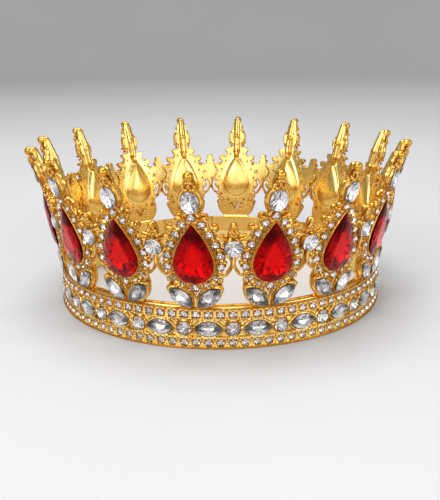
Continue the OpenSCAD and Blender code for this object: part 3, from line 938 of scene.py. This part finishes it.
def place_crystals():
    """Each pear stone as a piece of its own, and the clear stones as one piece per CAD group."""
    angles = [math.radians((i + 0.5) * FLEURON_STEP) for i in range(FLEURONS)]
    pear_shape = edge_outline(pear_stone, 0.0, PEAR_HEART_Y, 20)
    pear_gem = gem_data(pear_shape, folds=9, girdle=1.4, table=2.6, culet=-2.3, table_size=0.56,
                        centre=(0.0, PEAR_HEART_Y))
    for i, a in enumerate(angles):
        stones = [(pear_gem, wall_matrix(0, 0, 0, a))]
        stone = gem_object(f"pear_gem_{i + 1}", stones, red_glass, red_foil)
        finish_piece(stone, f"pear_crystal_{i + 1}")

    chaton = gem_data(round_outline(CHATON_D + 0.2), folds=6, girdle=0.3, table=0.7, culet=-0.55,
                      table_size=0.58)
    link = gem_data(round_outline(LINK_D + 0.2), folds=8, girdle=1.3, table=2.15, culet=-0.3,
                    table_size=0.55)
    rim_round = gem_data(round_outline(RIM_ROUND_D + 0.4), folds=8, girdle=0.6, table=1.4,
                         culet=-0.8, table_size=0.55)
    oval_gem = gem_data(oval_outline(OVAL_L + 0.2, OVAL_W + 0.3), folds=8, girdle=1.35, table=2.15,
                        culet=-0.3, table_size=0.55)
    pointed = edge_outline(lambda x, y: navette(x, y, NAVETTE_L + 0.7, NAVETTE_W + 0.4), 0.0, 0.0, 12)
    # facet corners of a pointed oval, closer together near its ends
    end_turns = (0, 0.75, 1.25, math.pi / 2, math.pi - 1.25, math.pi - 0.75)
    turns = [math.pi / 2 + t for t in end_turns]
    turns += [t + math.pi for t in turns]
    leaf_gem = gem_data(pointed, folds=6, girdle=1.25, table=2.15, culet=-0.25, table_size=0.30,
                        angles=turns, keel=1.6)
    rim_leaf = gem_data(pointed, folds=6, girdle=0.6, table=1.4, culet=-0.8, table_size=0.30,
                        angles=turns, keel=1.6)

    groups = {"oval_crystals": [], "spire_chatons": [], "halo_chatons": [], "link_crystals": [],
              "leaf_crystals": [], "rim_navettes": [], "rim_rounds": [], "upper_rail_chatons": [],
              "lower_rail_chatons": []}
    for a in angles:
        groups["oval_crystals"].append((oval_gem, wall_matrix(0, y_of(OVAL_Z), 0, a)))
        groups["spire_chatons"].append((chaton, wall_matrix(0, APEX_CHATON_Y, 0.4, a)))
        for k in range(-HALO_SIDE, HALO_SIDE + 1):
            x, y, ox, oy = halo_place(k)
            seat = wall_matrix(x, y, 0.3, a, math.atan2(oy, ox))
            groups["halo_chatons"].append((chaton, seat))
        seat = wall_matrix(0, y_of(LINK_Z), 0, a - math.radians(FLEURON_STEP / 2))
        groups["link_crystals"].append((link, seat))
        for side in (-1, 1):
            seat = wall_matrix(side * (LEAF_X + 0.15), y_of(LEAF_Z - 0.15), 0, a,
                               -side * math.radians(LEAF_TILT))
            groups["leaf_crystals"].append((leaf_gem, seat))
    for i in range(REPEATS):
        a = math.radians(i * REPEAT_STEP)
        groups["rim_rounds"].append((rim_round, rim_matrix(0, CHANNEL_Z, 0, a)))
        seat = rim_matrix(REPEAT_X / 2, CHANNEL_Z, 0, a, math.pi / 2)
        groups["rim_navettes"].append((rim_leaf, seat))
    # every small stone of the rails sits at its own turn
    for i in range(RAIL_STONES):
        a = math.radians(i * CHATON_STEP)
        groups["upper_rail_chatons"].append((chaton, rim_matrix(0, UPPER_RAIL_Z, 0, a, 0.7 * i)))
        groups["lower_rail_chatons"].append((chaton, rim_matrix(0, LOWER_RAIL_Z, 0, a, 1.1 * i)))
    for node, stones in groups.items():
        cut = gem_object(f"{node}_cut", stones, clear_glass, silver_foil)
        finish_piece(cut, node)


# ---- stage, light and camera ----

# The floor, in metres: radius of its flat part, radius of the sweep up, and height of the wall
FLOOR_R, SWEEP_R, WALL_H = 1.5, 0.7, 1.1


def make_stage():
    """A pale floor that sweeps up into a round backdrop."""
    profile = [(0.0, 0.0), (0.6, 0.0), (FLOOR_R, 0.0)]
    profile += [(FLOOR_R + SWEEP_R * math.sin(t), SWEEP_R - SWEEP_R * math.cos(t))
                for t in np.linspace(0.1, math.pi / 2, 12)]
    profile.append((FLOOR_R + SWEEP_R, WALL_H))
    spokes = 96
    turns = [2 * math.pi * j / spokes for j in range(spokes)]
    verts, faces = [(0, 0, 0)], []
    for r, z in profile[1:]:
        verts += [(r * math.cos(t), r * math.sin(t), z) for t in turns]
    faces += [(0, 1 + j, 1 + (j + 1) % spokes) for j in range(spokes)]
    for row in range(len(profile) - 2):
        a, b = 1 + row * spokes, 1 + (row + 1) * spokes
        faces += [(a + j, b + j, b + (j + 1) % spokes, a + (j + 1) % spokes)
                  for j in range(spokes)]
    mesh = bpy.data.meshes.new("pale_floor")
    mesh.from_pydata(verts, [], faces)
    mesh.update()
    mesh.polygons.foreach_set("use_smooth", [True] * len(mesh.polygons))
    floor = new_object("pale_floor", mesh)
    m, tree, shader = material("pale_floor")
    cloud = noise(tree, 3.0, 2.0)
    tone = ramp(tree, [(0.3, (0.60, 0.60, 0.61)), (0.7, (0.64, 0.64, 0.65))])
    tree.links.new(cloud.outputs[0], tone.inputs[0])
    tree.links.new(tone.outputs[0], shader.inputs["Base Color"])
    shader.inputs["Roughness"].default_value = 0.55
    mesh.materials.append(m)


# Lights, in metres and watts: (name, place, width and height, power)
SOFTBOXES = [
    ("overhead_softbox", (-0.1, 0.15, 1.0), (0.9, 0.7), 8),
    ("front_left_softbox", (-0.75, -0.8, 0.75), (0.5, 0.5), 5),
    ("right_fill", (0.9, -0.5, 0.5), (0.4, 0.6), 3),
    ("front_wall_of_light", (0.0, -1.3, 0.55), (1.9, 0.7), 6),
]
LIT_POINT = (0, 0, 0.03)
SKY_STRENGTH = 0.55


def area_light(name, place, size, power):
    light = bpy.data.lights.new(name, "AREA")
    light.shape = "RECTANGLE"
    light.size, light.size_y = size
    light.energy = power
    obj = new_object(name, light)
    obj.location = place
    aim = Vector(LIT_POINT) - Vector(place)
    obj.rotation_euler = aim.to_track_quat("-Z", "Y").to_euler()


def make_lights():
    """Four soft boxes, and a pale sky that fades towards the ground."""
    for box in SOFTBOXES:
        area_light(*box)
    world = bpy.data.worlds.new("studio")
    world.use_nodes = True
    tree = world.node_tree
    background = tree.nodes["Background"]
    coords = tree.nodes.new("ShaderNodeTexCoord")
    split = tree.nodes.new("ShaderNodeSeparateXYZ")
    tree.links.new(coords.outputs["Generated"], split.inputs[0])
    sky = ramp(tree, [(0.0, (0.35, 0.35, 0.36)), (0.3, (0.7, 0.7, 0.71)), (1.0, (1.0, 1.0, 1.0))])
    tree.links.new(split.outputs["Z"], sky.inputs[0])
    tree.links.new(sky.outputs[0], background.inputs["Color"])
    background.inputs["Strength"].default_value = SKY_STRENGTH
    bpy.context.scene.world = world


# The camera that was fitted to the photo, in metres and degrees
CAMERA_DISTANCE, CAMERA_HEIGHT = 0.3043, 0.1076
CAMERA_SWING, CAMERA_PITCH, CAMERA_ROLL = 3.75, 16.7, -0.6
SENSOR = 36
FOCAL_RATIO = 1.47                  # focal length over the picture's height


def make_camera():
    """A camera a little left of the front, looking down on the crown."""
    swing, pitch, roll = map(math.radians, (CAMERA_SWING, CAMERA_PITCH, CAMERA_ROLL))
    camera = bpy.data.cameras.new("camera")
    camera.sensor_width = SENSOR
    camera.lens = FOCAL_RATIO * SENSOR
    camera.clip_start, camera.clip_end = 0.01, 20
    obj = new_object("camera", camera)
    left, front = math.sin(swing), math.cos(swing)
    obj.location = (-CAMERA_DISTANCE * left, -CAMERA_DISTANCE * front, CAMERA_HEIGHT)
    look = Vector((left * math.cos(pitch), front * math.cos(pitch), -math.sin(pitch)))
    tilt = Matrix.Rotation(roll, 4, "Z").to_quaternion()
    obj.rotation_mode = "QUATERNION"
    obj.rotation_quaternion = look.to_track_quat("-Z", "Y") @ tilt
    bpy.context.scene.camera = obj


make_camera()
make_stage()
make_lights()
bpy.context.scene.view_settings.view_transform = "Standard"
place_castings()
place_crystals()
